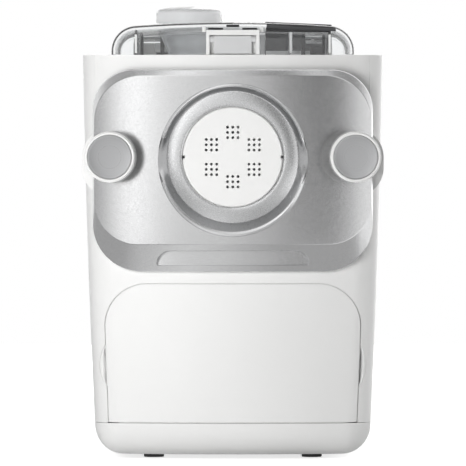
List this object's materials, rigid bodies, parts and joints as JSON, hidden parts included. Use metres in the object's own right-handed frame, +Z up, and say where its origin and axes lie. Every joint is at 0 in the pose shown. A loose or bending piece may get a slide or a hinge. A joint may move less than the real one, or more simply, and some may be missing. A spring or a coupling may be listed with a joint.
{
  "type": "electric pasta maker",
  "caption": "Box-shaped countertop pasta extruder: silver front plate with ring cap, die disc and clamping knobs, clear hinged lid, storage drawer, geared screw and paddle drive.",
  "frame": {"origin": "on the ground under the middle of the overall box", "axes": "+Z up, front towards -Y, +X to the right seen from the front"},
  "size_m": [0.2156, 0.345, 0.3244],
  "materials": {
    "white_housing": "glossy white moulding",
    "silver_panel": "satin silver",
    "grey_trim": "satin grey",
    "white_cap": "glossy white",
    "white_disc": "food-grade white",
    "rubber_black": "matt black",
    "grey_chamber": "smooth light grey",
    "inner_grey": "light grey",
    "clear_lid": "clear moulded plastic",
    "steel": "zinc plated",
    "aluminium_cast": "die cast",
    "nylon_gear": "natural nylon",
    "brass_nut": "turned",
    "black_gloss": "dark gloss",
    "black_matte": "matt black",
    "window_glass": "tinted",
    "board_green": "solder mask",
    "button_grey": "satin"
  },
  "bodies": {
    "main_unit": {"base_tray": "white_housing", "outer_housing": "white_housing", "front_fascia": "white_housing", "top_deck": "white_housing", "rubber_feet": "rubber_black", "base_screws": "steel", "mixing_chamber": "grey_chamber", "shaft_seal": "rubber_black", "clamp_studs": "steel", "idler_pin": "steel", "motor_casing": "steel", "gearbox_housing": "aluminium_cast", "gearbox_cover": "aluminium_cast", "gearbox_screws": "steel", "shaft_bearings": "steel", "drive_bracket": "steel", "drawer_bay": "inner_grey", "drawer_runners": "inner_grey", "hinge_brackets": "black_matte", "hinge_pins": "steel", "control_panel": "black_gloss", "display_window": "window_glass", "display_module": "black_matte", "circuit_board": "board_green", "power_inlet": "black_matte", "inlet_contacts": "brass_nut"},
    "front_panel_unit": {"front_panel": "silver_panel", "cap_seat_ring": "grey_trim", "extrusion_tube": "white_disc", "tube_seal": "rubber_black", "shaping_disc": "white_disc"},
    "cap_unit": {"ring_cap": "white_cap"},
    "left_nut_unit": {"left_knob_nut": "brass_nut"},
    "left_knob_unit": {"left_knob": "white_cap", "left_knob_face": "grey_trim"},
    "right_nut_unit": {"right_knob_nut": "brass_nut"},
    "right_knob_unit": {"right_knob": "white_cap", "right_knob_face": "grey_trim"},
    "drawer_unit": {"drawer_front": "white_housing", "drawer_tray": "inner_grey"},
    "drive_line": {"drive_shaft": "steel", "output_gear": "nylon_gear", "mixing_paddle": "white_disc", "extrusion_screw": "white_disc"},
    "idler_unit": {"idler_gear": "nylon_gear"},
    "rotor_unit": {"motor_rotor": "steel", "motor_pinion": "steel", "cooling_fan": "nylon_gear"},
    "lid_unit": {"lid": "clear_lid", "latch_frame": "white_housing", "latch_pin": "steel"},
    "latch_unit": {"lid_latch": "grey_trim"},
    "inlet_cap_unit": {"inlet_cap": "clear_lid"},
    "power_button_unit": {"power_button": "button_grey"},
    "program_button_unit": {"program_button": "button_grey"},
    "extrude_button_unit": {"extrude_button": "button_grey"},
    "start_button_unit": {"start_button": "button_grey"}
  },
  "joints": [
    {"name": "front_panel_release", "type": "slide", "parent": "main_unit", "child": "front_panel_unit", "axis": [0, -1, 0], "range_m": [0, 0.07]},
    {"name": "cap_turn", "type": "hinge", "parent": "front_panel_unit", "child": "cap_unit", "pos_m": [0, -0.165, 0.2157], "axis": [0, -1, 0], "range_deg": [0, 50]},
    {"name": "left_knob_turn", "type": "hinge", "parent": "left_nut_unit", "child": "left_knob_unit", "pos_m": [-0.0875, -0.16, 0.2157], "axis": [0, -1, 0], "range_deg": [0, 540]},
    {"name": "left_knob_travel", "type": "slide", "parent": "front_panel_unit", "child": "left_nut_unit", "axis": [0, -1, 0], "range_m": [0, 0.0045]},
    {"name": "right_knob_turn", "type": "hinge", "parent": "right_nut_unit", "child": "right_knob_unit", "pos_m": [0.0875, -0.16, 0.2157], "axis": [0, -1, 0], "range_deg": [0, 540]},
    {"name": "right_knob_travel", "type": "slide", "parent": "front_panel_unit", "child": "right_nut_unit", "axis": [0, -1, 0], "range_m": [0, 0.0045]},
    {"name": "drawer_slide", "type": "slide", "parent": "main_unit", "child": "drawer_unit", "axis": [0, -1, 0], "range_m": [0, 0.095]},
    {"name": "output_turn", "type": "hinge", "parent": "main_unit", "child": "drive_line", "pos_m": [0, 0.1, 0.2157], "axis": [0, 1, 0], "continuous": true},
    {"name": "idler_turn", "type": "hinge", "parent": "main_unit", "child": "idler_unit", "pos_m": [0, 0.11, 0.1457], "axis": [0, 1, 0], "continuous": true},
    {"name": "motor_turn", "type": "hinge", "parent": "main_unit", "child": "rotor_unit", "pos_m": [0, 0.06, 0.1007], "axis": [0, 1, 0], "continuous": true},
    {"name": "lid_hinge", "type": "hinge", "parent": "main_unit", "child": "lid_unit", "pos_m": [0, 0.06, 0.304], "axis": [-1, 0, 0], "range_deg": [0, 80]},
    {"name": "latch_swing", "type": "hinge", "parent": "lid_unit", "child": "latch_unit", "pos_m": [0, -0.1427, 0.2996], "axis": [-1, 0, 0], "range_deg": [0, 18], "stiffness_Nm_per_rad": 0.02, "springref_deg": -5.73},
    {"name": "inlet_cap_lift", "type": "slide", "parent": "lid_unit", "child": "inlet_cap_unit", "axis": [0, 0, 1], "range_m": [0, 0.04]},
    {"name": "power_press", "type": "slide", "parent": "main_unit", "child": "power_button_unit", "axis": [0, 0.1098, -0.994], "range_m": [0, 0.0012], "stiffness_N_per_m": 400, "springref_m": -0.0005},
    {"name": "program_press", "type": "slide", "parent": "main_unit", "child": "program_button_unit", "axis": [0, 0.1098, -0.994], "range_m": [0, 0.0012], "stiffness_N_per_m": 400, "springref_m": -0.0005},
    {"name": "extrude_press", "type": "slide", "parent": "main_unit", "child": "extrude_button_unit", "axis": [0, 0.1098, -0.994], "range_m": [0, 0.0012], "stiffness_N_per_m": 400, "springref_m": -0.0005},
    {"name": "start_press", "type": "slide", "parent": "main_unit", "child": "start_button_unit", "axis": [0, 0.1098, -0.994], "range_m": [0, 0.0012], "stiffness_N_per_m": 400, "springref_m": -0.0005}
  ],
  "couplings": [
    {"joint": "left_knob_travel", "follows": "left_knob_turn", "m_per_rad": 0.00047746},
    {"joint": "right_knob_travel", "follows": "right_knob_turn", "m_per_rad": 0.00047746},
    {"joint": "idler_turn", "follows": "output_turn", "ratio": -4},
    {"joint": "motor_turn", "follows": "output_turn", "ratio": 20}
  ]
}
